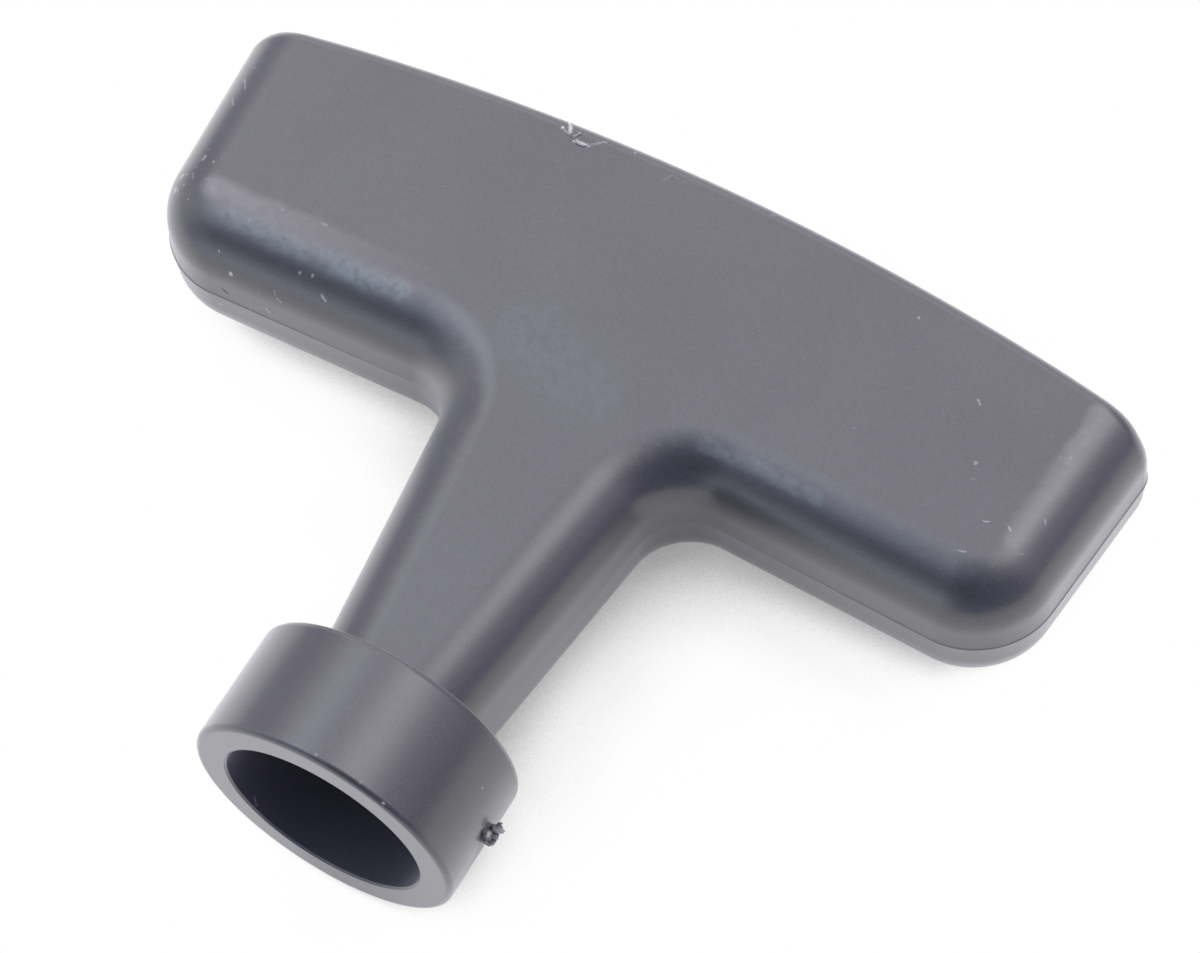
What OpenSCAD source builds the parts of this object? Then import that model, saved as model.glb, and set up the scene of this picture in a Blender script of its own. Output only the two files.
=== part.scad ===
// Starter handle, moulded in one piece. A flat-backed T grip stands on a
// tapering stem, and the stem ends in a round collar with an open cup. The rope
// comes in through the cup, runs up the stem and is knotted in a pocket that
// opens in the middle of the palm side.
// X runs along the grip, Y runs up the rope from the mouth to the palm, and Z is
// the thickness. The origin is the centre of the collar's mouth.

/* [Grip] */
// Length of the grip at the palm side, before its corners are rounded
grip_length = 98; // [84:1:116]
// Height from the collar's mouth to the crown of the palm side
handle_height = 72; // [64:0.5:90]
// Depth of the grip at the stem, from finger edge to crown
grip_depth = 29.2; // [24:0.2:36]
// Thickness between the two broad faces
thickness = 16.7; // [14:0.1:22]
// Drop of the palm side from its crown to each end
palm_drop = 4.7; // [2:0.1:9]
// Fall of the finger edge from the stem to each end
finger_fall = 1.1; // [0:0.1:3]
// How far each end leans inward towards its finger corner
end_slant = 2.4; // [0:0.1:5]

/* [Edges] */
// Radius of the roundover on the finger, end and stem edges
edge_round = 5.9; // [3:0.1:6.2]
// Radius of the small roundover on the palm edges
palm_round = 1.6; // [0.6:0.1:2.4]
// Corner radius between an end and the palm side, seen from the front
palm_corner = 2.7; // [1.5:0.1:5]
// Corner radius between an end and the finger edge, seen from the front
finger_corner = 8.3; // [7.2:0.1:11]
// Draft of the side walls, in degrees, from the parting plane to each face
draft_angle = 2.8; // [0.5:0.1:4]

/* [Stem] */
// Width of the stem where its sides would meet the finger edge
stem_head_width = 23.1; // [19:0.1:28]
// Width of the stem where it stands on the collar
stem_foot_width = 15.8; // [14:0.1:18]
// Radius of the hollow corner between stem and finger edge
stem_fillet = 5.5; // [3:0.1:10]

/* [Collar] */
// Outer diameter of the collar
collar_diameter = 26.8; // [25.4:0.1:34]
// Length of the collar along the rope
collar_length = 12.3; // [11:0.1:18]
// Rounding of the collar's outer edge at the mouth
lip_round = 0.6; // [0.4:0.1:1.8]
// Rounding of the collar's outer edge behind
shoulder_round = 1; // [0.3:0.1:2]

/* [Rope way] */
// Diameter of the cup in the collar's mouth
cup_diameter = 20.2; // [16:0.1:21]
// Depth of the cup
cup_depth = 9.8; // [6:0.1:10]
// Diameter of the rope hole up the stem
rope_hole = 6.4; // [4:0.1:8]
// Diameter of the knot pocket in the palm side
pocket_diameter = 11; // [8.6:0.1:11.4]
// Depth of the knot pocket below the crown
pocket_depth = 17; // [10:0.5:22]
// Bevel around both ends of the rope hole and the pocket's mouth
mouth_bevel = 0.5; // [0.2:0.1:0.7]

/* [Gate pip] */
// Diameter of the torn moulding pip on the collar's side
pip_diameter = 2; // [1:0.1:3]
// How far the pip stands out of the collar, torn point included
pip_height = 1.3; // [0.5:0.1:2]
// Distance of the pip from the mouth
pip_place = 6.1; // [3.5:0.1:8]

/* [Hidden] */
half_length = grip_length / 2;
mid = thickness / 2;
crown_radius = (half_length * half_length + palm_drop * palm_drop) / (2 * palm_drop);
crown_centre = handle_height - crown_radius;
collar_radius = collar_diameter / 2;
cup_radius = cup_diameter / 2;
pocket_floor = handle_height - pocket_depth;
web = collar_length - cup_depth;
stem_start = cup_depth + web / 2;

// Roundovers, each limited by the wall that it rounds
least_flat = 0.6;
bull = min(edge_round, mid - least_flat);
crisp = min(palm_round, bull - least_flat);
lip = min(lip_round, collar_radius - cup_radius - least_flat);
rear_round = min(shoulder_round, collar_length / 4);

// Plan lines of the right half: stem side, finger edge and end
foot = [stem_foot_width / 2, collar_length];
head = [stem_head_width / 2, handle_height - grip_depth];
tip = [half_length - end_slant, handle_height - grip_depth - finger_fall];
shoulder = [half_length, handle_height - palm_drop];
function unit(v) = v / norm(v);
function inward(u) = [-u[1], u[0]];
stem_line = unit(head - foot);
finger_line = unit(tip - head);
end_line = unit(shoulder - tip);
stem_in = inward(stem_line);
finger_in = inward(finger_line);
end_in = inward(end_line);

// Points where two lines cross, and points along an arc
function cross_wise(a, b) = a[0] * b[1] - a[1] * b[0];
function crossing(p, u, q, w) = p + u * cross_wise(q - p, w) / cross_wise(u, w);
function heading(v) = atan2(v[1], v[0]);
function on_arc(c, r, a, b, n) =
    [for (i = [0:n]) c + r * [cos(a + (b - a) * i / n), sin(a + (b - a) * i / n)]];

// Centres that stay put as the outline is drawn in
fillet_centre = crossing(head - stem_in * stem_fillet, stem_line,
    head - finger_in * stem_fillet, finger_line);
corner_centre = crossing(tip + finger_in * finger_corner, finger_line,
    tip + end_in * finger_corner, end_line);

// Centre of the palm corner, between the end and the palm arc
function palm_centre(side, palm) =
    let (start = tip + end_in * (side + palm_corner))
    let (reach = crown_radius - palm - palm_corner)
    let (from = start - [0, crown_centre])
    let (along = from * end_line)
    let (rest = from * from - reach * reach)
    start + end_line * (sqrt(along * along - rest) - along);

// Outline at one level, drawn in by side at the walls and by palm at the palm
fillet_steps = 12;
corner_steps = 12;
palm_steps = 7;
crown_steps = 14;
function right_half(side, palm) =
    let (low = crossing([0, stem_start], [1, 0], foot + stem_in * side, stem_line))
    let (pc = palm_centre(side, palm))
    let (to_palm = heading(pc - [0, crown_centre]))
    concat(
        [low],
        on_arc(fillet_centre, stem_fillet + side,
            heading(stem_in), heading(finger_in), fillet_steps),
        on_arc(corner_centre, finger_corner - side,
            heading(-finger_in), heading(-end_in), corner_steps),
        on_arc(pc, palm_corner, heading(-end_in), to_palm, palm_steps),
        [for (i = [1:crown_steps])
            let (a = to_palm + (90 - to_palm) * i / crown_steps)
            [0, crown_centre] + (crown_radius - palm) * [cos(a), sin(a)]]);
function whole_ring(side, palm) =
    let (r = right_half(side, palm))
    concat(r, [for (i = [len(r) - 2:-1:0]) [-r[i][0], r[i][1]]]);

// Levels from the parting plane to the face: height, side inset, palm inset
low_steps = 6;
top_steps = 6;
bull_foot = mid - bull;
crisp_foot = mid - crisp;
split_angle = asin((crisp_foot - bull_foot) / bull);
level_heights = concat(
    [for (i = [0:low_steps]) bull_foot + bull * sin(split_angle * i / low_steps)],
    [for (i = [1:top_steps]) crisp_foot + crisp * sin(90 * i / top_steps)]);
function inset(z, start, r) =
    min(z, start) * tan(draft_angle)
    + (z <= start ? 0 : r - sqrt(max(0, r * r - (z - start) * (z - start))));
function level(z) = [z, inset(z, bull_foot, bull), inset(z, crisp_foot, crisp)];
upper_levels = [for (z = level_heights) level(z)];
lower_levels = [for (i = [len(upper_levels) - 1:-1:0])
    [-upper_levels[i][0], upper_levels[i][1], upper_levels[i][2]]];
levels = concat(lower_levels, [[0, 0, 0]], upper_levels);

// Closed skin through the outlines of all levels, with a fan on each broad face
module skin(rows) {
    rings = [for (r = rows) whole_ring(r[1], r[2])];
    n = len(rings[0]);
    last = len(rings) - 1;
    hub_y = (head[1] + handle_height) / 2;
    ring_points = [for (k = [0:last]) for (p = rings[k]) [p[0], p[1], rows[k][0]]];
    hubs = [[0, hub_y, rows[0][0]], [0, hub_y, rows[last][0]]];
    back_hub = len(ring_points);
    front_hub = back_hub + 1;
    walls = [for (k = [0:last - 1]) for (i = [0:n - 1])
        let (j = (i + 1) % n)
        each [[k * n + i, (k + 1) * n + j, k * n + j],
            [k * n + i, (k + 1) * n + i, (k + 1) * n + j]]];
    back = [for (i = [0:n - 1]) [back_hub, i, (i + 1) % n]];
    front = [for (i = [0:n - 1])
        [front_hub, last * n + (i + 1) % n, last * n + i]];
    polyhedron(concat(ring_points, hubs), concat(walls, back, front), convexity = 6);
}

// Round shapes: facets, and how far a cut runs past the surface it opens
collar_facets = 120;
bore_facets = 96;
small_facets = 32;
run_out = 1;
skim = 0.01;

// Turns a shape that stands on Z so that it runs up the rope from a height
module up_the_rope(start) {
    translate([0, start, 0])
    rotate([-90, 0, 0])
    children();
}

// Round collar, turned from its profile with a rounded lip and shoulder
module collar() {
    lip_arc = on_arc([collar_radius - lip, lip], lip, -90, 0, 6);
    rear_arc = on_arc([collar_radius - rear_round, collar_length - rear_round],
        rear_round, 0, 90, 5);
    up_the_rope(0)
    rotate_extrude($fn = collar_facets)
    polygon(concat([[0, 0]], lip_arc, rear_arc, [[0, collar_length]]));
}

// Stub left where the moulding was torn off its runner, on the parting plane
module gate_pip() {
    root = (collar_radius - cup_radius) / 2;
    stub = pip_height * 0.65;
    translate([collar_radius - root, pip_place, 0])
    rotate([0, 90, 0]) {
        cylinder(d = pip_diameter, h = root + stub, $fn = small_facets);
        translate([0, 0, root + stub])
        cylinder(d1 = pip_diameter * 0.8, d2 = pip_diameter * 0.4,
            h = pip_height - stub, $fn = small_facets);
    }
}

// Cup, rope hole and knot pocket, all on the rope's axis
module rope_way() {
    rope_r = rope_hole / 2;
    pocket_r = pocket_diameter / 2;
    up_the_rope(-run_out)
    cylinder(r = cup_radius, h = cup_depth + run_out, $fn = bore_facets);
    up_the_rope(cup_depth - run_out)
    cylinder(r = rope_r, h = pocket_floor - cup_depth + 2 * run_out, $fn = bore_facets);
    up_the_rope(cup_depth - skim)
    cylinder(r1 = rope_r + mouth_bevel, r2 = rope_r, h = mouth_bevel, $fn = bore_facets);
    up_the_rope(pocket_floor - mouth_bevel + skim)
    cylinder(r1 = rope_r, r2 = rope_r + mouth_bevel, h = mouth_bevel, $fn = bore_facets);
    up_the_rope(pocket_floor)
    cylinder(r = pocket_r, h = pocket_depth + run_out, $fn = bore_facets);
    up_the_rope(handle_height - mouth_bevel)
    cylinder(r1 = pocket_r, r2 = pocket_r + 2 * mouth_bevel, h = 2 * mouth_bevel,
        $fn = bore_facets);
}

// The whole moulding
module handle() {
    color([0.16, 0.16, 0.18])
    difference() {
        union() {
            skin(levels);
            collar();
            gate_pip();
        }
        rope_way();
    }
}

handle();
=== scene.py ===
"""Dresses the starter handle: its moulding, its plastic and wear, and the studio it lies in.

Every length is in metres. X runs along the grip, Y up the rope from the collar's mouth
to the palm side, and Z is the thickness.
"""

import math

import bmesh
import bpy
from mathutils import Matrix, Vector


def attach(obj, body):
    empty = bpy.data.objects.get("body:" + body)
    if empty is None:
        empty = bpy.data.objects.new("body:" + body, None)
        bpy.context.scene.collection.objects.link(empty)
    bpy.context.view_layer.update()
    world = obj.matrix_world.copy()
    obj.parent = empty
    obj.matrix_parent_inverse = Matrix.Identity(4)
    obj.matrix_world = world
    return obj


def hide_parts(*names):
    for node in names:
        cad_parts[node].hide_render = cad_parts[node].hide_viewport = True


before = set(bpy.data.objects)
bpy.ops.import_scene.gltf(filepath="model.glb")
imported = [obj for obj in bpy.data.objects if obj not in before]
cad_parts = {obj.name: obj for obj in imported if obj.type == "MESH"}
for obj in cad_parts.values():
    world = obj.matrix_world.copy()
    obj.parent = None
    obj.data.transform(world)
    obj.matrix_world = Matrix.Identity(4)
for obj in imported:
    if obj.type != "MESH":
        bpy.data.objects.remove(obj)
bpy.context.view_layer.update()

bl_info = {
    "name": "Starter handle",
    "version": (1, 0, 0),
    "blender": (4, 5, 0),
    "location": "View3D > Sidebar > Handle",
    "description": "Moulded pull handle with its satin plastic, its wear and its studio",
    "category": "Object",
}

MM = 0.001
NODE = "handle"
PIECE = "handle_moulding"
SENSOR_WIDTH = 36


# Sizes and colours


def length(name, millimetres, description):
    """A length that the user may change, in metres."""
    return bpy.props.FloatProperty(
        name=name,
        description=description,
        default=millimetres * MM,
        min=0.0,
        unit="LENGTH",
        precision=5,
    )


def angle(name, degrees, description):
    """An angle that the user may change."""
    return bpy.props.FloatProperty(
        name=name,
        description=description,
        default=math.radians(degrees),
        subtype="ANGLE",
    )


def fraction(name, value, description):
    """A number from 0 to 1 that the user may change."""
    return bpy.props.FloatProperty(
        name=name,
        description=description,
        default=value,
        min=0.0,
        max=1.0,
        subtype="FACTOR",
    )


def tint(name, colour, description):
    """A colour that the user may change, in linear light."""
    return bpy.props.FloatVectorProperty(
        name=name,
        description=description,
        default=colour,
        min=0.0,
        max=1.0,
        subtype="COLOR",
        size=3,
    )


class HandleSizes(bpy.types.PropertyGroup):
    """Sizes of the moulding."""

    grip_length: length("Grip length", 98.0, "Grip at the palm side, corners unrounded")
    handle_height: length("Height", 72.0, "Collar's mouth to the crown of the palm side")
    grip_depth: length("Grip depth", 29.2, "Finger edge to crown, at the stem")
    thickness: length("Thickness", 16.7, "Between the two broad faces")
    palm_drop: length("Palm drop", 4.7, "Drop of the palm side from crown to ends")
    finger_fall: length("Finger fall", 1.1, "Fall of the finger edge from stem to ends")
    end_slant: length("End slant", 2.4, "How far each end leans in to its finger corner")
    edge_round: length("Edge round", 5.9, "Roundover of finger, end and stem edges")
    palm_round: length("Palm round", 1.6, "Roundover of the palm edges")
    palm_corner: length("Palm corner", 2.2, "Corner between an end and the palm side")
    finger_corner: length("Finger corner", 8.3, "Corner between end and finger edge")
    stem_head: length("Stem head", 23.1, "Width of the stem at the finger edge")
    stem_foot: length("Stem foot", 15.8, "Width of the stem at the collar")
    stem_fillet: length("Stem fillet", 5.5, "Hollow corner between stem and grip")
    collar_diameter: length("Collar diameter", 26.8, "Outer diameter of the collar")
    collar_length: length("Collar length", 12.3, "Collar along the rope")
    lip_round: length("Lip round", 0.6, "Rounding of the collar's edge at the mouth")
    shoulder_round: length("Shoulder round", 0.8, "Rounding of its rear edge")
    cup_diameter: length("Cup diameter", 20.2, "Cup in the collar's mouth")
    cup_depth: length("Cup depth", 9.8, "Depth of the cup")
    rope_hole: length("Rope hole", 6.4, "Hole up the stem")
    pocket_diameter: length("Pocket diameter", 11.0, "Knot pocket in the palm side")
    pocket_depth: length("Pocket depth", 17.0, "Knot pocket below the crown")
    mouth_bevel: length("Mouth bevel", 0.5, "Bevel around the rope hole and pocket")
    flash_height: length("Flash height", 0.09, "How far the parting line stands out")
    flash_width: length("Flash width", 0.3, "Width of the raised parting line")
    pip_diameter: length("Pip diameter", 2.0, "Torn moulding pip on the collar")
    pip_height: length("Pip height", 1.3, "How far the torn pip stands out")
    pip_place: length("Pip place", 6.1, "Distance of the pip from the mouth")
    draft: angle("Draft", 2.8, "Slope of the side walls towards both broad faces")


class HandleFinish(bpy.types.PropertyGroup):
    """Colours of the plastic and its wear."""

    plastic: tint("Plastic", (0.031, 0.032, 0.036), "Black moulded plastic")
    torn: tint("Torn plastic", (0.78, 0.76, 0.73), "Plastic where it is torn or nicked")
    # Colour of the rubbed edges, and of the strips of painted highlight beside them
    rubbed_and_highlight: tint("Rubbed plastic", (0.100, 0.095, 0.090), "Added where edges are rubbed")
    # Colour of a painted blue reflection on the finger roundovers, and of a faint pale patch
    # on the face
    painted_reflection: tint("Bloom", (0.055, 0.080, 0.078), "Added where the surface has a blue bloom")
    # Colour added inside the cup: dust, and painted light against the cup's shade
    cup_dust_and_light: tint("Dust", (0.020, 0.018, 0.030), "Added inside the cup")
    roughness: fraction("Roughness", 0.3, "Roughness of the satin surface")
    sheen: fraction("Sheen", 0.45, "Pale sheen of the fine grain at a low angle")


class HandleStage(bpy.types.PropertyGroup):
    """Floor and camera."""

    floor: tint("Floor", (0.93, 0.93, 0.93), "Plain pale floor")
    brilliance: bpy.props.FloatProperty(
        name="Floor brilliance",
        description="How soon the floor turns white away from the handle's soft shadow",
        default=55.0,
        min=1.0,
    )
    rest_tilt: angle("Resting tilt", 4.9, "Between the handle and the floor under it")
    azimuth: angle("Camera azimuth", 35.245, "Camera's turn around the handle")
    elevation: angle("Camera elevation", 60.489, "Camera's height over the handle")
    roll: angle("Camera roll", -5.863, "Camera's turn about its own line of sight")
    distance: length("Camera distance", 382.77, "From the camera to its aim")
    aim: bpy.props.FloatVectorProperty(
        name="Camera aim",
        description="Point that the camera looks at",
        default=(4.163 * MM, 42.282 * MM, 0.0),
        subtype="TRANSLATION",
    )
    lens: bpy.props.FloatProperty(
        name="Lens",
        description=f"Focal length in millimetres on a {SENSOR_WIDTH} mm wide sensor",
        default=123.605,
    )


# Hand tools

# Lengths this close count as the same, and points this close are merged
SAME = 2e-6
MERGE = 1e-6


def only(piece):
    """Selects one piece alone and makes it the active one."""
    bpy.ops.object.select_all(action="DESELECT")
    piece.select_set(True)
    bpy.context.view_layer.objects.active = piece


def into_edit(piece):
    """Edit mode on one piece alone."""
    only(piece)
    bpy.ops.object.mode_set(mode="EDIT")


def out_of_edit(name=None):
    """Back to object mode with the place and turn of the active piece in its mesh."""
    bpy.ops.object.mode_set(mode="OBJECT")
    piece = bpy.context.object
    only(piece)
    bpy.ops.object.transform_apply(location=True, rotation=True, scale=True)
    if name:
        piece.name = piece.data.name = name
    return piece


def pick(kind, test):
    """In edit mode, selects the vertices, edges or faces whose points all pass a test."""
    bpy.ops.mesh.select_mode(type=kind)
    bpy.ops.mesh.select_all(action="DESELECT")
    piece = bpy.context.edit_object
    shape = bmesh.from_edit_mesh(piece.data)
    for item in {"VERT": shape.verts, "EDGE": shape.edges, "FACE": shape.faces}[kind]:
        points = [item.co] if kind == "VERT" else [v.co for v in item.verts]
        item.select = all(test(p) for p in points)
    shape.select_flush_mode()
    bmesh.update_edit_mesh(piece.data)


def pick_all(kind=None):
    """In edit mode, selects everything, and may change what is picked from then on."""
    if kind:
        bpy.ops.mesh.select_mode(type=kind)
    bpy.ops.mesh.select_all(action="SELECT")


def near(a, b):
    """Whether two lengths are the same, within the mesh's own rounding."""
    return abs(a - b) < SAME


def shift(x=0.0, y=0.0):
    """Moves the selection by a step."""
    bpy.ops.transform.translate(value=(x, y, 0))


def stretch(value, centre):
    """Scales the selection from a centre, with a factor for each axis."""
    bpy.ops.transform.resize(value=value, center_override=centre)


def pull(x=0.0, y=0.0):
    """Extrudes the selection by a step."""
    bpy.ops.mesh.extrude_region_move(TRANSFORM_OT_translate={"value": (x, y, 0)})


def tidy_normals():
    """Merges doubled points and turns all faces outwards."""
    pick_all()
    bpy.ops.mesh.remove_doubles(threshold=MERGE)
    bpy.ops.mesh.normals_make_consistent(inside=False)


def tidy_mesh(piece):
    """Merges doubled points of a piece and turns all its faces outwards."""
    into_edit(piece)
    tidy_normals()
    return out_of_edit()


def apply_modifier(piece, kind, **settings):
    """Adds one modifier and applies it."""
    only(piece)
    bpy.ops.object.modifier_add(type=kind)
    modifier = piece.modifiers[-1]
    for key, value in settings.items():
        setattr(modifier, key, value)
    bpy.ops.object.modifier_apply(modifier=modifier.name)


def combine(piece, other, operation, tolerant=False):
    """Joins or cuts one piece with another, takes the other away, and stops the script
    if half of the piece went with it."""
    before = len(piece.data.vertices)
    apply_modifier(
        piece,
        "BOOLEAN",
        operation=operation,
        solver="EXACT",
        object=other,
        use_hole_tolerant=tolerant,
    )
    name = other.name
    bpy.data.objects.remove(other)
    if len(piece.data.vertices) < before / 2:
        raise RuntimeError(f"{piece.name} was lost when it met {name}")


# The moulding

# How far the uncut grip stands past the crown, and how deep the stem sits in the collar
PALM_REACH = 14 * MM
STEM_SUNK = 8.5 * MM
# How far the palm's cutter runs past both broad faces
CUTTER_PAST_FACE = MM
# Turns smaller than this are no corners of the plan
FLAT_ANGLE = math.radians(0.5)
# Least height of the drafted wall under the roundover
LEAST_WALL = 0.6 * MM
ROUND_STEPS = 16
CORNER_STEPS = 20
# Steps along half of the palm arc, and the angle that they cover
PALM_STEPS = 34
PALM_SWEEP = math.radians(13.6)


def turn_length(radius, corner, before, after):
    """How far from a corner an arc of that radius starts, along both its sides."""
    a = (before - corner).angle(after - corner)
    return radius / math.tan(a / 2)


def grip_and_stem(s):
    """T body: its plan drawn flat, then drawn in level by level to the broad face, and
    mirrored at the parting plane. Its palm side is still uncut."""
    mid = s.thickness / 2
    head_y = s.handle_height - s.grip_depth
    over_y = s.handle_height + PALM_REACH
    foot_y = s.collar_length - STEM_SUNK
    lean = (s.stem_head - s.stem_foot) / 2 / (head_y - s.collar_length)
    half_head = s.stem_head / 2
    half_foot = s.stem_foot / 2 - lean * STEM_SUNK
    tip_x = s.grip_length / 2 - s.end_slant
    end_rise = s.grip_depth + s.finger_fall - s.palm_drop
    over_x = tip_x + s.end_slant * (over_y - head_y + s.finger_fall) / end_rise

    # Stem, then the block over it, then an arm on each side
    bpy.ops.mesh.primitive_plane_add(size=1.0, enter_editmode=True)
    for start_y, half_width, y in ((-0.5, half_foot, foot_y), (0.5, half_head, head_y)):
        pick("VERT", lambda p: near(p.y, start_y))
        stretch((2 * half_width, 1, 1), (0, 0, 0))
        shift(y=y - start_y)
    pick("EDGE", lambda p: near(p.y, head_y))
    pull(y=over_y - head_y)
    for side in (1, -1):
        pick("EDGE", lambda p: near(p.x, side * half_head) and p.y > head_y - MM)
        pull(x=side * (tip_x - half_head))
        pick("VERT", lambda p: near(p.x, side * tip_x) and near(p.y, head_y))
        shift(y=-s.finger_fall)
        pick("VERT", lambda p: near(p.x, side * tip_x) and near(p.y, over_y))
        shift(x=side * (over_x - tip_x))
    pick_all()
    bpy.ops.mesh.dissolve_limited(angle_limit=FLAT_ANGLE)

    # Hollow corners at the stem, round corners at the ends
    foot, head = Vector((half_foot, foot_y)), Vector((half_head, head_y))
    tip, over = Vector((tip_x, head_y - s.finger_fall)), Vector((over_x, over_y))
    for corner, radius, before, after in (
        (head, s.stem_fillet, foot, tip),
        (tip, s.finger_corner, head, over),
    ):
        pick("VERT", lambda p: near(abs(p.x), corner.x) and near(p.y, corner.y))
        bpy.ops.mesh.bevel(
            offset_type="OFFSET",
            offset=turn_length(radius, corner, before, after),
            segments=CORNER_STEPS,
            affect="VERTICES",
            clamp_overlap=False,
        )

    # Drafted wall, then the roundover
    pick_all("FACE")
    bull = min(s.edge_round, mid - LEAST_WALL)
    slope = math.tan(s.draft)
    levels = [(0.0, 0.0)]
    for i in range(ROUND_STEPS + 1):
        a = math.pi / 2 * i / ROUND_STEPS
        levels.append(
            (mid - bull + bull * math.sin(a), slope * (mid - bull) + bull * (1 - math.cos(a)))
        )
    for (z0, in0), (z1, in1) in zip(levels, levels[1:]):
        bpy.ops.mesh.inset(thickness=in1 - in0, depth=z1 - z0, use_even_offset=True)
    body = out_of_edit(PIECE)
    apply_modifier(
        body,
        "MIRROR",
        use_axis=(False, False, True),
        use_mirror_merge=True,
        merge_threshold=MERGE,
    )
    return body


def palm_cutter(s):
    """Long arched bar whose hollow underside is the drafted palm side. Gives the bar,
    and the radius and centre of the arc."""
    mid = s.thickness / 2 + CUTTER_PAST_FACE
    half = s.grip_length / 2
    radius = (half * half + s.palm_drop * s.palm_drop) / (2 * s.palm_drop)
    centre_y = s.handle_height - radius
    draft = mid * math.tan(s.draft)
    low, high = s.handle_height - draft, s.handle_height + 2 * PALM_REACH
    bpy.ops.mesh.primitive_plane_add(size=1.0, rotation=(0, math.pi / 2, 0))
    out_of_edit()
    into_edit(bpy.context.object)
    pick_all()
    stretch((1, high - low, 2 * mid), (0, 0, 0))
    shift(y=(high + low) / 2)
    pick("EDGE", lambda p: near(p.y, low))
    bpy.ops.mesh.subdivide(number_cuts=1)
    pick("VERT", lambda p: near(p.y, low) and near(p.z, 0))
    shift(y=draft)
    pick_all("FACE")
    bpy.ops.mesh.spin(
        steps=PALM_STEPS, angle=PALM_SWEEP, center=(0, centre_y, 0), axis=(0, 0, 1)
    )
    pick("FACE", lambda p: near(p.x, 0))
    bpy.ops.mesh.delete(type="FACE")
    bar = out_of_edit("palm_cutter")
    apply_modifier(bar, "MIRROR", use_axis=(True, False, False), merge_threshold=MERGE)
    return tidy_mesh(bar), radius, centre_y


PALM_EDGE_STEPS = 6
# Points this close to the palm's arc lie on it
PALM_MARGIN = 4 * SAME
# The palm's crisp edge widens to the palm corner from this depth under the face down to
# this share of the roundover
WIDENS_FROM = 0.5 * MM
WIDENS_TO = 0.6


def cut_palm(body, s):
    """Cuts the palm side and gives its whole rim the crisp roundover."""
    bar, radius, centre_y = palm_cutter(s)
    combine(body, bar, "DIFFERENCE")
    into_edit(body)
    tidy_normals()
    slope = math.tan(s.draft)
    shape = bmesh.from_edit_mesh(body.data)

    def on_palm(p):
        reach = math.hypot(p.x, p.y - centre_y) + abs(p.z) * slope
        return abs(reach - radius) < PALM_MARGIN

    bpy.ops.mesh.select_mode(type="EDGE")
    bpy.ops.mesh.select_all(action="DESELECT")
    # The last stretch to each end becomes one face, so that the wider bevel has room
    plain_from = s.grip_length / 2 - s.edge_round - s.palm_corner
    for edge in shape.edges:
        palm_faces = [f for f in edge.link_faces if all(on_palm(v.co) for v in f.verts)]
        outer = min(abs(v.co.x) for v in edge.verts) > plain_from
        edge.select = len(palm_faces) == 2 and outer
    bpy.ops.mesh.dissolve_edges(use_verts=True)
    shape = bmesh.from_edit_mesh(body.data)
    palm = {f.index for f in shape.faces if all(on_palm(v.co) for v in f.verts)}
    weight = shape.edges.layers.float.new("bevel_weight_edge")
    high, low = s.thickness / 2 - WIDENS_FROM, s.thickness / 2 - s.edge_round * WIDENS_TO
    for edge in shape.edges:
        if sum(f.index in palm for f in edge.link_faces) == 1:
            z = sum(abs(v.co.z) for v in edge.verts) / 2
            around = min(max((high - z) / (high - low), 0), 1)
            around = around * around * (3 - 2 * around)
            edge_radius = s.palm_round + (s.palm_corner - s.palm_round) * around
            edge[weight] = edge_radius / s.palm_corner
    bmesh.update_edit_mesh(body.data)
    out_of_edit()
    apply_modifier(
        body,
        "BEVEL",
        limit_method="WEIGHT",
        width=s.palm_corner,
        segments=PALM_EDGE_STEPS,
        use_clamp_overlap=False,
        loop_slide=True,
    )
    body.data.attributes.remove(body.data.attributes["bevel_weight_edge"])
    tidy_mesh(body)


# Share of its height that the parting line keeps away from the grip's ends
FAINT_FLASH = 0.1


def parting_line(piece, s, on_line):
    """Raises the thin line where the two halves of the mould met, along the edges in
    the parting plane that pass a test. It stands out most around the grip's ends."""
    into_edit(piece)
    pick_all()
    bpy.ops.mesh.bisect(plane_co=(0, 0, 0), plane_no=(0, 0, 1))
    pick("EDGE", lambda p: near(p.z, 0) and on_line(p))
    bpy.ops.mesh.bevel(
        offset=s.flash_width / 2, segments=2, affect="EDGES", clamp_overlap=False
    )
    pick("VERT", lambda p: near(p.z, 0) and on_line(p))
    bpy.ops.transform.shrink_fatten(value=s.flash_height * FAINT_FLASH)
    ends = s.grip_length / 2 - s.finger_corner - s.end_slant
    pick("VERT", lambda p: near(p.z, 0) and on_line(p) and abs(p.x) > ends)
    bpy.ops.transform.shrink_fatten(value=s.flash_height * (1 - FAINT_FLASH))
    out_of_edit()


COLLAR_FACETS = 192
COLLAR_EDGE_STEPS = 8


def collar(s):
    """Round collar with a rounded lip and shoulder."""
    bpy.ops.mesh.primitive_cylinder_add(
        vertices=COLLAR_FACETS,
        radius=s.collar_diameter / 2,
        depth=s.collar_length,
        location=(0, s.collar_length / 2, 0),
        rotation=(math.pi / 2, 0, 0),
    )
    ring = out_of_edit("collar")
    into_edit(ring)
    for y, radius in ((0.0, s.lip_round), (s.collar_length, s.shoulder_round)):
        pick("EDGE", lambda p: near(p.y, y))
        bpy.ops.mesh.bevel(offset=radius, segments=COLLAR_EDGE_STEPS, affect="EDGES")
    return out_of_edit()


BORE_FACETS = 128
# Bevel of the cup's rim, and how far the core stands out of the mouth
CUP_RIM = 0.2 * MM
RUN_OUT = 2 * MM


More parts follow.
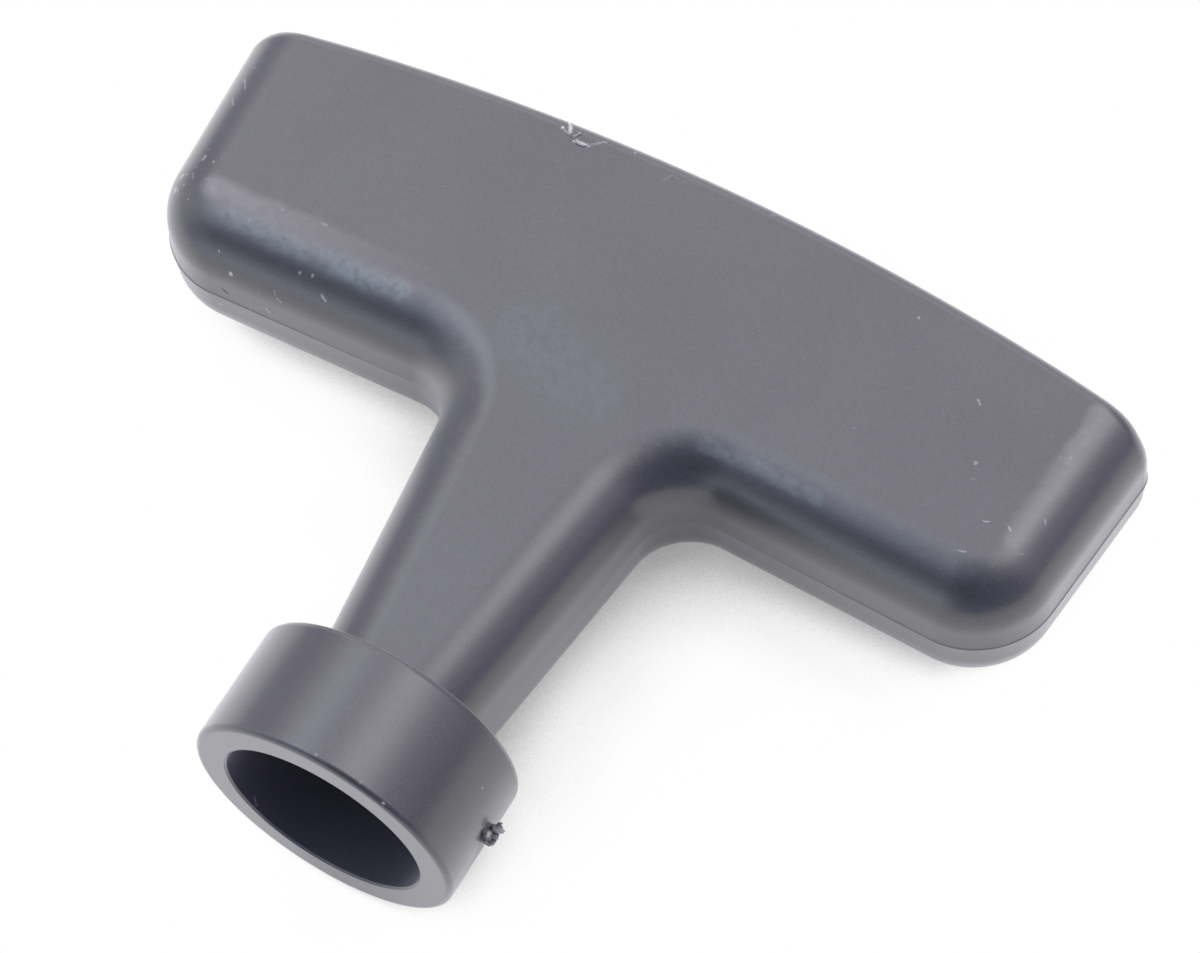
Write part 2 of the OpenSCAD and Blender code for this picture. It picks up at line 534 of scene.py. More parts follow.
def rope_way(s):
    """Cup, rope hole and knot pocket as one stepped core."""
    cup, hole, pocket = s.cup_diameter / 2, s.rope_hole / 2, s.pocket_diameter / 2
    floor = s.handle_height - s.pocket_depth
    bevel = s.mouth_bevel
    y, r = -RUN_OUT, cup + CUP_RIM + RUN_OUT
    bpy.ops.mesh.primitive_circle_add(
        vertices=BORE_FACETS,
        radius=r,
        fill_type="NGON",
        location=(0, y, 0),
        rotation=(math.pi / 2, 0, 0),
    )
    core = out_of_edit("rope_way")
    into_edit(core)
    pick_all("FACE")
    for next_y, next_r in (
        (CUP_RIM, cup),
        (s.cup_depth, cup),
        (s.cup_depth, hole + bevel),
        (s.cup_depth + bevel, hole),
        (floor - bevel, hole),
        (floor, hole + bevel),
        (floor, pocket),
        (s.handle_height - bevel, pocket),
        (s.handle_height + bevel, pocket + 2 * bevel),
    ):
        pull(y=next_y - y)
        stretch((next_r / r, 1, next_r / r), (0, next_y, 0))
        y, r = next_y, next_r
    tidy_normals()
    return out_of_edit()


PIP_FACETS = 28
PIP_SUNK = MM
PIP_SLANT = math.radians(27)
# Height of the tear as a share of the pip's height
PIP_TEAR = 0.42
# Rim, dish and rising middle of the tear: inset and rise as shares of the pip's radius
PIP_RINGS = ((0.2, 0.08), (0.16, -0.34), (0.3, 0.12))
# How far the tear's points stray, and which of them do, as shares of the radius
PIP_STRAY = 0.09
PIP_STRAY_BELOW = 0.1
PIP_SEED = 5
# Shards of the tear, from the pip's foot: start, end and width in millimetres
PIP_SHARDS = (
    ((0.1, 0.62, 0.1), (1.45, 0.95, -0.15), 0.75),
    ((0.2, 0.2, -0.55), (1.15, 0.25, -0.75), 0.55),
    ((0.6, 1.0, 0.25), (1.05, 1.3, 0.55), 0.3),
)


def gate_pip(s):
    """Stub left where the moulding was torn off its runner: a slanted, dished tear with
    a ragged rim, and three shards that still stand out."""
    out = s.collar_diameter / 2
    radius = s.pip_diameter / 2
    bpy.ops.mesh.primitive_cylinder_add(
        vertices=PIP_FACETS,
        radius=radius,
        depth=PIP_SUNK + s.pip_height,
        location=(out + (s.pip_height - PIP_SUNK) / 2, s.pip_place, 0),
        rotation=(0, math.pi / 2, 0),
    )
    pip = out_of_edit("gate_pip")
    into_edit(pip)
    slant = Vector((math.cos(PIP_SLANT), 0, math.sin(PIP_SLANT)))
    tear = Vector((out + s.pip_height * PIP_TEAR, s.pip_place, 0))
    pick_all()
    bpy.ops.mesh.bisect(plane_co=tear, plane_no=slant, use_fill=True, clear_outer=True)
    pick("FACE", lambda p: near((p - tear).dot(slant), 0))
    for inset, rise in PIP_RINGS:
        bpy.ops.mesh.inset(thickness=radius * inset, depth=radius * rise)
    pick("VERT", lambda p: (p - tear).dot(slant) > -radius * PIP_STRAY_BELOW)
    bpy.ops.transform.vertex_random(offset=radius * PIP_STRAY, seed=PIP_SEED)
    pick_all()
    bpy.ops.mesh.quads_convert_to_tris()
    out_of_edit()
    foot = (out, s.pip_place, 0)
    for number, (start, end, width) in enumerate(PIP_SHARDS):
        shard = sliver("pip_shard", number, start, end, width, width, foot)
        combine(pip, shard, "UNION")
    return pip


SLIVER_SEGMENTS = 12
SLIVER_RINGS = 8
# How far a splinter's points stray, as a share of its width or height
SLIVER_STRAY = 0.14
SLIVER_SEED = 40


def sliver(name, number, start, end, width, height, origin=(0, 0, 0)):
    """Small ragged splinter from a start to an end, in millimetres from an origin."""
    start, end = Vector(start) * MM, Vector(end) * MM
    width, height = width * MM, height * MM
    along = end - start
    bpy.ops.object.select_all(action="DESELECT")
    bpy.ops.mesh.primitive_uv_sphere_add(
        segments=SLIVER_SEGMENTS,
        ring_count=SLIVER_RINGS,
        radius=0.5,
        location=Vector(origin) + (start + end) / 2,
        rotation=along.to_track_quat("X", "Z").to_euler(),
        scale=(along.length, width, height),
    )
    splinter = out_of_edit(name)
    into_edit(splinter)
    pick_all()
    stray = min(width, height) * SLIVER_STRAY
    bpy.ops.transform.vertex_random(offset=stray, seed=number + SLIVER_SEED)
    bpy.ops.mesh.quads_convert_to_tris()
    return out_of_edit()


# Burr torn up on the palm edge: start, end, width and height in millimetres
BURR = (
    ((-15.15, 70.9, 7.8), (-14.3, 69.35, 8.42), 0.34, 0.2),
    ((-15.5, 69.75, 8.33), (-15.1, 69.5, 8.4), 0.3, 0.18),
    ((-15.3, 69.62, 8.36), (-14.4, 69.25, 8.4), 0.17, 0.12),
    ((-13.9, 69.2, 8.36), (-13.45, 69.95, 8.36), 0.2, 0.13),
    ((-13.8, 70.15, 8.3), (-13.5, 69.6, 8.4), 0.3, 0.18),
    ((-13.5, 68.75, 8.38), (-12.2, 69.0, 8.38), 0.44, 0.22),
    ((-13.7, 69.15, 8.36), (-12.7, 68.8, 8.4), 0.25, 0.18),
    ((-12.4, 69.0, 8.38), (-10.9, 70.25, 8.3), 0.13, 0.1),
)
# Hollows left by the burr and by a knock on the finger wall
DENTS = (
    ((-14.3, 69.25, 8.4), (-13.4, 69.0, 8.4), 0.4, 0.24),
    ((-37.5, 42.1, 1.75), (-36.6, 42.1, 1.1), 0.34, 0.14),
)


def tear_and_dent(body):
    """Adds the torn burr on the palm edge and presses in the dents."""
    for table, operation in ((DENTS, "DIFFERENCE"), (BURR, "UNION")):
        for number, row in enumerate(table):
            combine(body, sliver("splinter", number, *row), operation, tolerant=True)


# Share of the lip's roundover that the collar's parting line runs onto
LINE_ON_LIP = 0.3
SMOOTH_UNDER = math.radians(32)
FACE_WEIGHT = 80


def build_moulding(s):
    """The whole one-piece handle."""
    body = grip_and_stem(s)
    cut_palm(body, s)
    parting_line(body, s, lambda p: p.y > s.collar_length / 2)
    ring = collar(s)
    wall = s.collar_diameter / 2 - s.lip_round * LINE_ON_LIP
    parting_line(ring, s, lambda p: abs(p.x) > wall)
    combine(body, ring, "UNION")
    combine(body, rope_way(s), "DIFFERENCE")
    combine(body, gate_pip(s), "UNION")
    tear_and_dent(body)
    tidy_mesh(body)
    bpy.ops.object.shade_smooth_by_angle(angle=SMOOTH_UNDER)
    apply_modifier(body, "WEIGHTED_NORMAL", keep_sharp=True, weight=FACE_WEIGHT)
    rub_edges(body, s)
    return body


RUBBED = "rubbed_and_highlight"
# Reach of the rubbing around the lip, and the slope in degrees at which a roundover is
# rubbed most and how far from it the rubbing ends
LIP_RUB = 1.5 * MM
RUBBED_SLOPE = 70
RUBBED_SPAN = 24


def rub_edges(body, s):
    """Writes how far each point lies on an edge that hands and floors rub."""
    rubbed_and_highlight = body.data.attributes.new(RUBBED, "FLOAT", "POINT")
    lip = s.collar_diameter / 2 - s.lip_round
    for vertex, value in zip(body.data.vertices, rubbed_and_highlight.data):
        p = vertex.co
        if p.y < s.collar_length:
            from_lip = abs(p.y) + abs(math.hypot(p.x, p.z) - lip)
            value.value = max(0, 1 - from_lip / LIP_RUB)
        else:
            steep = math.degrees(math.asin(min(abs(vertex.normal.z), 1)))
            value.value = max(0, 1 - abs(steep - RUBBED_SLOPE) / RUBBED_SPAN)


# The plastic

COLUMN_WIDTH = 200
ROW_HEIGHT = 160


def add_node(tree, kind, place, **values):
    """Node at a place in the tree, counted in columns and rows."""
    node = tree.nodes.new(kind)
    node.location = (place[0] * COLUMN_WIDTH, place[1] * ROW_HEIGHT)
    for key, value in values.items():
        setattr(node, key, value)
    return node


def empty_tree(owner):
    """Cleared node tree of a new material or world."""
    owner.use_nodes = True
    owner.node_tree.nodes.clear()
    return owner.node_tree


def feed(tree, socket, value):
    """Gives a socket a plain value, or links it to another socket."""
    if isinstance(value, bpy.types.NodeSocket):
        tree.links.new(value, socket)
    else:
        socket.default_value = value


def calc(tree, place, operation, *values):
    """Result of a sum on numbers."""
    node = add_node(tree, "ShaderNodeMath", place, operation=operation)
    for socket, value in zip(node.inputs, values):
        feed(tree, socket, value)
    return node.outputs[0]


def vector_calc(tree, place, operation, *values, out="Vector"):
    """Result of a sum on vectors or colours."""
    node = add_node(tree, "ShaderNodeVectorMath", place, operation=operation)
    for socket, value in zip(node.inputs, values):
        feed(tree, socket, value)
    return node.outputs[out]


def noise(tree, place, coords, scale, detail=2.0, out="Fac"):
    """Noise with that many waves to a metre."""
    node = add_node(tree, "ShaderNodeTexNoise", place)
    tree.links.new(coords, node.inputs["Vector"])
    node.inputs["Scale"].default_value = scale
    node.inputs["Detail"].default_value = detail
    return node.outputs[out]


def stirred(tree, place, coords, scale, reach):
    """Coordinates pushed about by a noise."""
    column, row = place
    drift = noise(tree, place, coords, scale, 1, out="Color")
    drift = vector_calc(tree, (column + 1, row), "SUBTRACT", drift, (0.5, 0.5, 0.5))
    drift = scaled(tree, (column + 2, row), drift, reach)
    return vector_calc(tree, (column + 3, row), "ADD", coords, drift)


def scaled(tree, place, vector, factor):
    """A colour or vector times a number."""
    if not isinstance(vector, bpy.types.NodeSocket):
        vector = tuple(vector)
    node = add_node(tree, "ShaderNodeVectorMath", place, operation="SCALE")
    feed(tree, node.inputs[0], vector)
    feed(tree, node.inputs["Scale"], factor)
    return node.outputs[0]


def between(tree, place, value, low, high, most=1.0):
    """Smooth step from 0 at low to the most at high."""
    node = add_node(tree, "ShaderNodeMapRange", place, interpolation_type="SMOOTHSTEP")
    names = "Value", "From Min", "From Max", "To Max"
    for name, number in zip(names, (value, low, high, most)):
        feed(tree, node.inputs[name], number)
    return node.outputs["Result"]


def open_group(name, out, **inputs):
    """Empty node group with one way out; gives the group and the sockets it takes in."""
    group = bpy.data.node_groups.new(name, "ShaderNodeTree")
    for title, kind in inputs.items():
        group.interface.new_socket(title, in_out="INPUT", socket_type="NodeSocket" + kind)
    title, kind = out
    group.interface.new_socket(title, in_out="OUTPUT", socket_type="NodeSocket" + kind)
    return group, add_node(group, "NodeGroupInput", (-5, 0)).outputs


def close_group(group, result):
    """Ends a node group with its result."""
    leave = add_node(group, "NodeGroupOutput", (5, 0))
    feed(group, leave.inputs[0], result)
    return group


def open_mask(name, **places):
    """Node group for the mask of one mark, from its places, width and strength."""
    return open_group(
        name, ("Mask", "Float"), Place="Vector", **places, Width="Float", Strength="Float"
    )


# Share of a mark's width over which it has its full strength
MARK_CORE = 0.3


def close_mask(group, gap, enter):
    """Ends a mask group: full strength near the middle, nothing beyond the width."""
    core = calc(group, (1, 1), "MULTIPLY", enter["Width"], MARK_CORE)
    mask = between(group, (2, 0), gap, enter["Width"], core, enter["Strength"])
    return close_group(group, mask)


def line_group():
    """Mask of one mark: a short stroke between two places that fades at its edge."""
    group, enter = open_mask("worn_line", From="Vector", To="Vector")
    along = vector_calc(group, (-4, 1), "SUBTRACT", enter["To"], enter["From"])
    offset = vector_calc(group, (-4, -1), "SUBTRACT", enter["Place"], enter["From"])
    whole = vector_calc(group, (-3, 2), "DOT_PRODUCT", along, along, out="Value")
    unit = scaled(group, (-2, 2), along, calc(group, (-2, 3), "DIVIDE", 1.0, whole))
    reach = vector_calc(group, (-3, 0), "DOT_PRODUCT", offset, unit, out="Value")
    share = calc(group, (-2, 0), "MAXIMUM", reach, 0.0)
    share = calc(group, (-2, 1), "MINIMUM", share, 1.0)
    nearest = scaled(group, (-1, 0), along, share)
    gap = vector_calc(group, (0, 0), "DISTANCE", offset, nearest, out="Value")
    return close_mask(group, gap, enter)


def spot_group():
    """Mask of one small nick around a place."""
    group, enter = open_mask("worn_spot", From="Vector")
    places = enter["Place"], enter["From"]
    gap = vector_calc(group, (0, 0), "DISTANCE", *places, out="Value")
    return close_mask(group, gap, enter)


# Torn, nicked and scratched lines: start and end, half width (mm) and strength. Most
# places of wear were picked in the photograph and cast onto the handle.
MARKS = (
    ((-15.2, 70.8, 7.8), (-14.4, 69.5, 8.5), 0.30, 0.62),
    ((-15.4, 69.6, 8.4), (-14.5, 69.3, 8.5), 0.17, 0.42),
    ((-13.9, 69.2, 8.4), (-13.5, 70.0, 8.4), 0.20, 0.25),
    ((-13.6, 68.9, 8.5), (-12.2, 69.0, 8.5), 0.32, 0.50),
    ((-12.3, 69.0, 8.4), (-11.0, 70.2, 8.3), 0.16, 0.32),
    ((-3.9, 69.0, 8.4), (-3.5, 69.9, 8.3), 0.12, 0.10),
    ((-3.5, 69.9, 8.3), (-2.1, 69.8, 8.3), 0.12, 0.15),
    ((6.8, 70.5, 8.2), (7.4, 70.7, 8.1), 0.16, 0.10),
    ((-45.8, 60.6, 7.2), (-44.9, 59.4, 7.7), 0.16, 0.28),
    ((-45.6, 58.1, 7.2), (-45, 57.4, 7.5), 0.16, 0.24),
    ((-44.1, 48.9, 7.5), (-43.8, 48.4, 7.6), 0.16, 0.22),
    ((-36.2, 46.8, 8.2), (-36.2, 46.3, 8), 0.10, 0.18),
    ((-29.9, 49.6, 8.4), (-29.4, 49.6, 8.4), 0.22, 0.16),
    ((-32.5, 42.2, 1.6), (-32.1, 42.2, 1.1), 0.12, 0.45),
    ((-31.1, 42.5, 4), (-30.6, 42.5, 3.7), 0.14, 0.40),
    ((-31.4, 42.8, 4.8), (-31.3, 42.6, 4.2), 0.08, 0.30),
    ((-33.1, 42.5, 4), (-33.1, 42.4, 3.4), 0.10, 0.22),
    ((-26.6, 43.8, 6.2), (-26.1, 43.6, 6), 0.20, 0.38),
    ((33.1, 61.9, 8.4), (33.5, 61.5, 8.4), 0.18, 0.24),
    ((36.3, 54.2, 8.4), (37, 54.4, 8.4), 0.10, 0.14),
    ((-8.5, 0.9, -5.5), (-8.0, 0.4, -6.1), 0.12, 0.30),
    ((39.4, 50.9, 8.4), (40, 51.1, 8.4), 0.12, 0.30),
    ((41.2, 51.7, 8.3), (42, 51.2, 8.3), 0.11, 0.34),
    ((44, 53.9, 7.9), (44.3, 53.5, 7.7), 0.09, 0.30),
    ((38.8, 47.2, 8.3), (39.5, 47.4, 8.3), 0.10, 0.22),
    ((42.6, 49.4, 8.1), (44, 49.9, 7.7), 0.10, 0.16),
)

# Small nicks, and the torn pip made lighter with painted light: place, radius (mm) and
# strength
SPOTS = (
    ((-15.35, 69.68, 8.4), 0.30, 0.80),
    ((-13.6, 69.85, 8.4), 0.26, 0.42),
    # The torn pip on the collar: pale torn plastic, with painted light over the whole pip
    # where it lies in the collar's shade
    ((13.95, 6.1, 0.1), 0.50, 0.60),
    ((15.3, 6.4, 0.0), 1.90, 0.42),
    ((-7.95, 70.55, 8.2), 0.22, 0.35),
    ((-45.55, 62.1, 7.5), 0.18, 0.35),
    ((-42.8, 50.65, 8.1), 0.22, 0.30),
    ((-42.35, 51.35, 8.3), 0.15, 0.20),
    ((-44.9, 48.75, 6.95), 0.21, 0.30),
    ((-44.45, 47.65, 7), 0.19, 0.35),
    ((-43.85, 47.75, 7.4), 0.17, 0.25),
    ((-44.9, 47.1, 6.4), 0.20, 0.30),
    ((-42.45, 48.75, 8.2), 0.17, 0.18),
    ((-43.05, 46.35, 7.3), 0.17, 0.25),
    ((-34, 49.1, 8.4), 0.21, 0.14),
    ((-36.2, 42.5, 4.5), 0.31, 0.85),
    ((-37.85, 43.4, 6.1), 0.20, 0.40),
    ((-38, 42, -1.65), 0.26, 0.55),
    ((-29.4, 44.55, 7), 0.26, 0.32),
    ((-28.1, 44.75, 7.2), 0.23, 0.36),
    ((-34.4, 42.1, 0.2), 0.21, 0.22),
    ((24.35, 67, 8.4), 0.22, 0.32),
    ((36.05, 55.85, 8.4), 0.26, 0.26),
    ((43.25, 60.45, 8.3), 0.23, 0.14),
    ((0.75, 0.6, 13.3), 0.18, 0.20),
    ((5.2, 0.5, 12.3), 0.20, 0.14),
    ((7.55, 0.3, 10.95), 0.20, 0.50),
    ((12.5, 7.9, 4.9), 0.20, 0.28),
)

# Strips beside the edges, partly rubbed wear and partly painted highlight: start and end,
# half width (mm) and strength
HIGHLIGHT_STRIPS = (
    ((-41.4, 48.3, 8.3), (-36.5, 48.4, 8.4), 1.5, 1.2),
    ((-41.4, 48.3, 8.3), (-17.0, 49.1, 8.4), 1.7, 1.0),
    ((43.3, 66.0, 8.3), (43.0, 60.0, 8.3), 1.2, 0.85),
    ((43.0, 60.0, 8.3), (42.6, 50.5, 8.2), 1.4, 0.6),
)
# Painted blue reflection on the finger roundovers, and a faint pale patch in the middle
# of the face
PAINTED_REFLECTION_PATCHES = (
    ((-38.0, 46.2, 8.0), (-26.0, 46.4, 8.0), 1.5, 0.8),
    ((-26.0, 46.4, 8.0), (-19.4, 46.8, 8.1), 1.6, 1.0),
    ((13.5, 46.1, 7.9), (25.0, 46.0, 7.8), 1.0, 0.6),
    ((-6.0, 48.5, 8.4), (1.0, 45.5, 8.4), 5.5, 0.16),
)
# Where flecks crowd: the left end and its finger corner
FLECKED = (
    ((-45.4, 60.0, 7.2), (-44.8, 52.0, 7.2), 1.6, 0.35),
    ((-44.5, 51.5, 7.5), (-45.5, 47.2, 6.0), 1.7, 1.0),
)


def marks_mask(tree, coords, group, table, column, total=0.0):
    """Strongest of all marks in a table, and of a mask given before."""
    for row, (start, *end, width, strength) in enumerate(table):
        mark = add_node(tree, "ShaderNodeGroup", (column, row), node_tree=group)
        tree.links.new(coords, mark.inputs["Place"])
        mark.inputs["From"].default_value = Vector(start) * MM
        if end:
            mark.inputs["To"].default_value = Vector(end[0]) * MM
        mark.inputs["Width"].default_value = width * MM
        mark.inputs["Strength"].default_value = strength
        total = calc(tree, (column + 1, row), "MAXIMUM", mark.outputs["Mask"], total)
    return total


# Flecks far from a crowd, and what the middle of a crowd adds: the chance that a cell
# has to pass, the spread of sizes in cells, and the spread of strengths
FLECK_RANGES = (
    (0.993, -0.5),
    (0.12, 0.65),
    (0.25, 0.35),
)
LEAST_FLECK = 0.08
FLECK_MIDDLE = 0.02
FAINTEST_FLECK = 0.06


def flecks(tree, coords, crowd):
    """Sparse flecks, more, larger and stronger ones where they crowd."""
    rare, spread, most = (
        calc(tree, (-3, 11 + row), "MULTIPLY_ADD", crowd, more, plain)
        for row, (plain, more) in enumerate(FLECK_RANGES)
    )
    cells = add_node(tree, "ShaderNodeTexVoronoi", (-5, 10))
    cells.inputs["Scale"].default_value = FLECK_CELLS
    tree.links.new(coords, cells.inputs["Vector"])
    chance = add_node(tree, "ShaderNodeSeparateXYZ", (-4, 10))
    tree.links.new(cells.outputs["Color"], chance.inputs[0])
    picked = calc(tree, (-2, 10), "GREATER_THAN", chance.outputs["X"], rare)
    size = calc(tree, (-2, 11), "MULTIPLY_ADD", chance.outputs["Y"], spread, LEAST_FLECK)
    strength = chance.outputs["Z"]
    strength = calc(tree, (-2, 12), "MULTIPLY_ADD", strength, most, FAINTEST_FLECK)
    fleck = between(tree, (-1, 11), cells.outputs["Distance"], size, FLECK_MIDDLE)
    fleck = calc(tree, (0, 10), "MULTIPLY", fleck, picked)
    return calc(tree, (1, 10), "MULTIPLY", fleck, strength)


# Between which values of the blotches the strips, the edges and the painted reflection
# break up
STRIP_PATCHES = (-0.6, 0.75)
EDGE_PATCHES = (0.52, 0.72)
REFLECTION_SPECKLE = (0.2, 0.6)
# Distances from the middle of the stem between which the strips gain their strength
STRIPS_GAIN = (13 * MM, 42 * MM)
EDGE_WEAR = 0.18


def rubbed_and_highlight_places(tree, wandering, lines, blotch, x):
    """Rubbed edges, and strips of rubbing and painted highlight beside them, broken up into
    patches. The strips fade to the stem.
    """
    patches = between(tree, (-2, 5), blotch, *STRIP_PATCHES)
    strips = marks_mask(tree, wandering, lines, HIGHLIGHT_STRIPS, -3)
    strips = calc(tree, (-1, 4), "MULTIPLY", strips, patches)
    outward = calc(tree, (-2, 3), "ABSOLUTE", x)
    outward = between(tree, (-1, 3), outward, *STRIPS_GAIN)
    strips = calc(tree, (0, 4), "MULTIPLY", strips, outward)
    edge = add_node(tree, "ShaderNodeAttribute", (-3, 7), attribute_name=RUBBED)
    worn = between(tree, (-2, 8), blotch, *EDGE_PATCHES)
    wear = calc(tree, (-1, 7), "MULTIPLY", edge.outputs["Fac"], worn)
    return calc(tree, (1, 5), "MULTIPLY_ADD", wear, EDGE_WEAR, strips)


# Outside and inside of the soft edge of the cup's dust and painted light, past the cup's
# own radius
CUP_DUST_AND_LIGHT_EDGE = (0.08 * MM, 0.02 * MM)


def in_the_cup(tree, coords, depth, sizes):
    """Mask of the cup's wall and floor."""
    flat = vector_calc(tree, (-9, -3), "MULTIPLY", coords, (1, 0, 1))
    around = vector_calc(tree, (-8, -3), "LENGTH", flat, out="Value")
    outer, inner = (sizes.cup_diameter / 2 + past for past in CUP_DUST_AND_LIGHT_EDGE)
    inside = between(tree, (-7, -3), around, outer, inner)
    shallow = between(tree, (-7, -4), depth, sizes.cup_depth + MM, sizes.cup_depth)
    return calc(tree, (-6, -3), "MULTIPLY", inside, shallow)


# Outlines of the marks and of the soft strips: waves to a metre and how far they stray
RAGGED = (2600, 0.3 * MM)
WANDERING = (420, 0.9 * MM)
# Cells or waves to a metre: flecks, blotches of wear, clouds of handling, eroded grain
FLECK_CELLS = 1500
BLOTCHES = 1100
CLOUDS = 70
GRAIN = 3800
CLOUD_EDGES = (0.3, 0.7)
# Shares of the plastic's colour: at least, in the clouds' and in the grain's pale parts
LEAST_SHADE = 0.1
CLOUD_SHADE = 0.25
GRAIN_SHADE = 1.6
# What clouds, rubbed edges with painted highlight strips, and torn places add to roughness
CLOUDY = 0.05
RUBBED_AND_HIGHLIGHT_DULL = 0.12
TORN_DULL = 0.4
GRAIN_DEPTH = 0.02 * MM
GRAIN_RELIEF = 0.22


def satin_plastic(finish, sizes):
    """Black moulded plastic: fine grain, cloudy handling, rubbed edges, nicks and dust, with
    painted highlight strips, a painted blue reflection and painted light in the cup.
    """
    material = bpy.data.materials.new("satin_black_plastic")
    tree = empty_tree(material)
    out = add_node(tree, "ShaderNodeOutputMaterial", (12, 0))
    shader = add_node(tree, "ShaderNodeBsdfPrincipled", (10, 0))
    tree.links.new(shader.outputs["BSDF"], out.inputs["Surface"])
    for name, value in (
        ("IOR", 1.4),
        ("Specular IOR Level", 1.0),
        ("Coat Weight", 1.0),
        ("Coat Roughness", 0.3),
        ("Sheen Weight", finish.sheen),
        ("Sheen Roughness", 0.48),
    ):
        shader.inputs[name].default_value = value
    coords = add_node(tree, "ShaderNodeTexCoord", (-10, 0)).outputs["Object"]
    split = add_node(tree, "ShaderNodeSeparateXYZ", (-9, -4))
    tree.links.new(coords, split.inputs[0])

    # Masks
    ragged = stirred(tree, (-9, 2), coords, *RAGGED)
    wandering = stirred(tree, (-9, 4), coords, *WANDERING)
    lines = line_group()
    marks = marks_mask(tree, ragged, lines, MARKS, -5)
    marks = marks_mask(tree, ragged, spot_group(), SPOTS, -4, marks)
    crowd = marks_mask(tree, wandering, lines, FLECKED, -4)
    marks = calc(tree, (2, 10), "MAXIMUM", marks, flecks(tree, ragged, crowd))
    blotch = noise(tree, (-3, 5), coords, BLOTCHES)
    # Rubbed edges, and strips beside them of rubbing and painted highlight
    rubbed_and_highlight = rubbed_and_highlight_places(tree, wandering, lines, blotch, split.outputs["X"])
    # Painted blue reflection on the finger roundovers, speckled
    painted_reflection = marks_mask(tree, wandering, lines, PAINTED_REFLECTION_PATCHES, -3)
    speckle = between(tree, (-2, 9), blotch, *REFLECTION_SPECKLE)
    painted_reflection = calc(tree, (-1, 9), "MULTIPLY", painted_reflection, speckle)
    # Dust, with painted light, on the cup's wall and floor
    inside = in_the_cup(tree, coords, split.outputs["Y"], sizes)
    cloud = noise(tree, (-5, -6), coords, CLOUDS)
    cloud = between(tree, (-4, -6), cloud, *CLOUD_EDGES)

    # Colour
    grain = noise(tree, (-5, -8), coords, GRAIN, 3)
    lighter = calc(tree, (0, 3), "MULTIPLY_ADD", cloud, CLOUD_SHADE, LEAST_SHADE)
    lighter = calc(tree, (0, 4), "MULTIPLY_ADD", grain, GRAIN_SHADE, lighter)
    shade = scaled(tree, (1, 3), finish.plastic, lighter)
    # Added colours: rubbed edges with painted highlight strips, a painted blue reflection,
    # and dust with painted light in the cup
    for row, (colour, mask) in enumerate(
        ((finish.rubbed_and_highlight, rubbed_and_highlight), (finish.painted_reflection, painted_reflection), (finish.cup_dust_and_light, inside))
    ):
        extra = scaled(tree, (1, 4 + row), colour, mask)
        shade = vector_calc(tree, (2, 4 + row), "ADD", shade, extra)
    mix = add_node(tree, "ShaderNodeMix", (4, 3), data_type="RGBA")
    feed(tree, mix.inputs["Factor"], marks)
    feed(tree, mix.inputs["A"], shade)
    mix.inputs["B"].default_value = (*finish.torn, 1)
    tree.links.new(mix.outputs["Result"], shader.inputs["Base Color"])

    # Roughness: clouds vary it both ways; rubbed edges, highlight strips and torn places are
    # duller
    rough = finish.roughness - CLOUDY / 2
    for column, (mask, more) in enumerate(
        ((cloud, CLOUDY), (rubbed_and_highlight, RUBBED_AND_HIGHLIGHT_DULL), (marks, TORN_DULL))
    ):
        rough = calc(tree, (4 + column, 0), "MULTIPLY_ADD", mask, more, rough)
    tree.links.new(rough, shader.inputs["Roughness"])

    # Relief: spark-eroded grain
    bump = add_node(tree, "ShaderNodeBump", (8, -2))
    bump.inputs["Strength"].default_value = GRAIN_RELIEF
    bump.inputs["Distance"].default_value = GRAIN_DEPTH
    tree.links.new(grain, bump.inputs["Height"])
    tree.links.new(bump.outputs["Normal"], shader.inputs["Normal"])
    return material


# The studio

WHITE = (1, 1, 1, 1)
FLOOR_SIZE = 3.0
# How the floor looks for open sky around each place, and how sharply that counts
SKY_SAMPLES = 8
SKY_REACH = 0.3
SKY_POWER = 4.0
# The floor is lit more past the right end and left of the stem: from, to and how much
LIT_RIGHT = (38 * MM, 48 * MM, 6.0)
LIT_LEFT = (4 * MM, -14 * MM, 1.0)
# How soon the shadow ends: in the plastic's reflection it reaches further out
DIRECT_RATE = 1.0
MIRRORED_RATE = 0.17
DARKEST_SHADOW = 0.32


def close_tree(tree, factor, plain, seen, kind):
    """Ends the tree of a material or world: its plain shader, and the seen one where
    the factor is 1."""
    mix = add_node(tree, "ShaderNodeMixShader", (2, 0))
    for socket, value in zip(mix.inputs, (factor, plain.outputs[0], seen.outputs[0])):
        feed(tree, socket, value)
    out = add_node(tree, "ShaderNodeOutput" + kind, (4, 0))
    tree.links.new(mix.outputs[0], out.inputs["Surface"])


